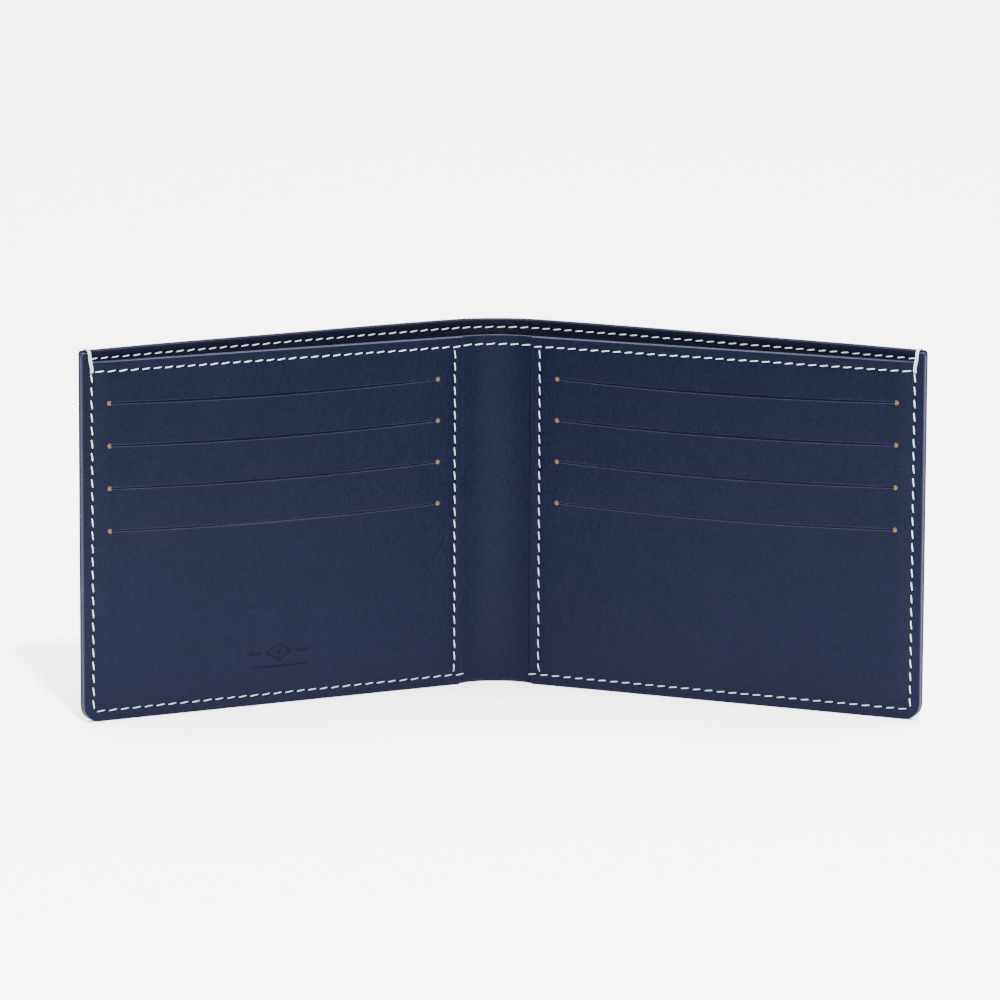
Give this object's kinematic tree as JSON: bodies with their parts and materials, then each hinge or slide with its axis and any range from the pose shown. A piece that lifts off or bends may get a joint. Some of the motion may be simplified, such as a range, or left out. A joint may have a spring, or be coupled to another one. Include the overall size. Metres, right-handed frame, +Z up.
{
  "type": "bifold wallet",
  "caption": "Slim leather billfold standing half open, with card slits in both wings, a full-width bill compartment behind them and a narrow flexible spine.",
  "frame": {"origin": "on the ground, at the middle of the spine's outer shell", "axes": "+Z up the creases; +X from the left wing to the right wing as seen from inside; the inside with the card slits faces -Y"},
  "size_m": [0.2046, 0.0612, 0.09],
  "materials": {
    "shell_leather": "smooth navy calf leather, semi-matt, edges bevelled and painted",
    "panel_leather": "smooth navy calf leather, semi-matt",
    "lining_leather": "thin dark navy lining leather, matt",
    "pocket_cloth": "thin dark navy twill pocket lining",
    "thread": "pale blue-white waxed sewing thread"
  },
  "bodies": {
    "spine": {"spine_outer_shell": "shell_leather", "spine_lining": "lining_leather", "spine_inner_wall": "panel_leather", "spine_top_seam_front": "thread", "spine_top_seam_back": "thread", "spine_shell_top_seam_front": "thread", "spine_shell_top_seam_back": "thread"},
    "left_wing": {"left_outer_shell": "shell_leather", "left_lining": "lining_leather", "left_inner_wall": "panel_leather", "left_card_panel": "panel_leather", "left_pocket_liner_1": "pocket_cloth", "left_pocket_liner_2": "pocket_cloth", "left_pocket_liner_3": "pocket_cloth", "left_pocket_liner_4": "pocket_cloth", "left_edge_seam_front": "thread", "left_edge_seam_back": "thread", "left_panel_seam_front": "thread", "left_panel_seam_back": "thread", "left_top_seam_front": "thread", "left_top_seam_back": "thread", "left_shell_top_seam_front": "thread", "left_shell_top_seam_back": "thread"},
    "right_wing": {"right_outer_shell": "shell_leather", "right_lining": "lining_leather", "right_inner_wall": "panel_leather", "right_card_panel": "panel_leather", "right_pocket_liner_1": "pocket_cloth", "right_pocket_liner_2": "pocket_cloth", "right_pocket_liner_3": "pocket_cloth", "right_pocket_liner_4": "pocket_cloth", "right_edge_seam_front": "thread", "right_edge_seam_back": "thread", "right_panel_seam_front": "thread", "right_panel_seam_back": "thread", "right_top_seam_front": "thread", "right_top_seam_back": "thread", "right_shell_top_seam_front": "thread", "right_shell_top_seam_back": "thread"}
  },
  "joints": [
    {"name": "left_fold", "type": "hinge", "parent": "spine", "child": "left_wing", "pos_m": [-0.0036, 0, 0], "axis": [0, 0, 1], "range_deg": [-28, 62], "deforming": ["spine_outer_shell", "spine_lining", "spine_inner_wall", "spine_top_seam_front", "spine_top_seam_back", "spine_shell_top_seam_front", "spine_shell_top_seam_back"]},
    {"name": "right_fold", "type": "hinge", "parent": "spine", "child": "right_wing", "pos_m": [0.0036, 0, 0], "axis": [0, 0, -1], "range_deg": [-28, 62]}
  ]
}
